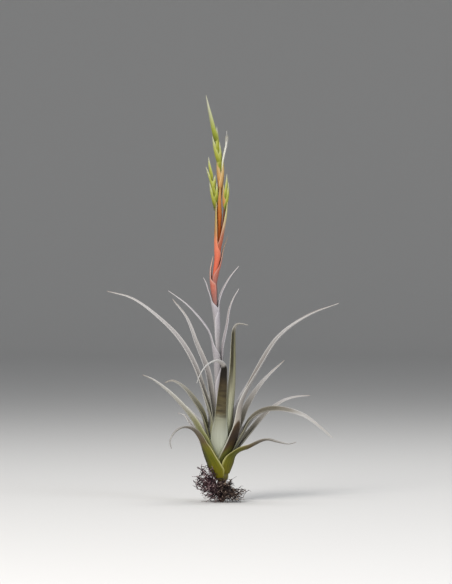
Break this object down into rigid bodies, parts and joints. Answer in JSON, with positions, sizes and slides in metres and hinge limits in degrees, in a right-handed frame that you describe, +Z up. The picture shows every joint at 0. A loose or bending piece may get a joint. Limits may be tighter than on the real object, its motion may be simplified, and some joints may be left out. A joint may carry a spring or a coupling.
{
  "type": "tillandsia elizabethae",
  "caption": "Bare-rooted flowering air plant: a rosette of channelled, tapering leaves round a tall upright scape with pink bracts and three slender spikes.",
  "frame": {"origin": "on the surface that the plant stands on, under the stem, on the flat underside of the root tuft", "axes": "+Z up along the scape, which is the longest way; -Y is the front, from which the longest leaves reach to -X and +X"},
  "size_m": [0.2344, 0.1493, 0.4071],
  "materials": {
    "leaf_silver": "matt, with a felt of silver scales",
    "leaf_olive": "satin, with faint bands across and pale margins",
    "leaf_green": "satin, yellow-olive at the foot and greyer outwards",
    "bract_lilac": "matt, with a felt of silver scales",
    "bract_coral": "satin",
    "bract_salmon": "satin, drying to tan at the margins",
    "bract_lime": "satin, greyer to the tip",
    "petal": "matt, thin and a little clear",
    "stem": "smooth, pale green",
    "root": "dry, wiry and brown"
  },
  "bodies": {
    "root": {"stem": "stem", "root_tuft": "root", "leaf_back_inner": "leaf_silver", "leaf_front_right": "leaf_olive", "leaf_left_inner": "leaf_silver", "leaf_back_upright": "leaf_silver", "leaf_left_long": "leaf_silver", "leaf_front": "leaf_olive", "leaf_back_right": "leaf_silver", "leaf_right_long": "leaf_silver", "leaf_back_left": "leaf_silver", "leaf_left_recurved": "leaf_silver", "leaf_back_low_right": "leaf_silver", "leaf_right_short": "leaf_silver", "leaf_back_low_left": "leaf_silver", "leaf_right_low_back": "leaf_silver", "leaf_right_arching": "leaf_silver", "leaf_left_broad": "leaf_silver", "leaf_right_middle": "leaf_silver", "leaf_left_low_back": "leaf_silver", "leaf_back_lowest": "leaf_green", "leaf_right_low": "leaf_green", "leaf_left_curled": "leaf_green", "scape_bract_1": "bract_lilac", "scape_bract_2": "bract_lilac", "scape_bract_3": "bract_lilac", "scape_bract_4": "bract_lilac", "scape_bract_5": "bract_coral", "scape_bract_6": "bract_coral", "primary_bract_left": "bract_coral", "primary_bract_right": "bract_salmon", "primary_bract_middle": "bract_salmon", "spike_top_bract_1": "bract_lime", "spike_top_bract_2": "bract_lime", "spike_top_bract_3": "bract_lime", "spike_top_bract_4": "bract_lime", "spike_top_bract_5": "bract_salmon", "spike_top_bract_6": "bract_salmon", "spike_left_bract_1": "bract_lime", "spike_left_bract_2": "bract_lime", "spike_left_bract_3": "bract_lime", "spike_left_bract_4": "bract_lime", "spike_left_bract_5": "bract_lime", "spike_right_bract_1": "bract_lime", "spike_right_bract_2": "bract_salmon", "spike_right_bract_3": "bract_lime", "flower_corolla": "petal", "flower_stamens": "petal"}
  },
  "joints": []
}
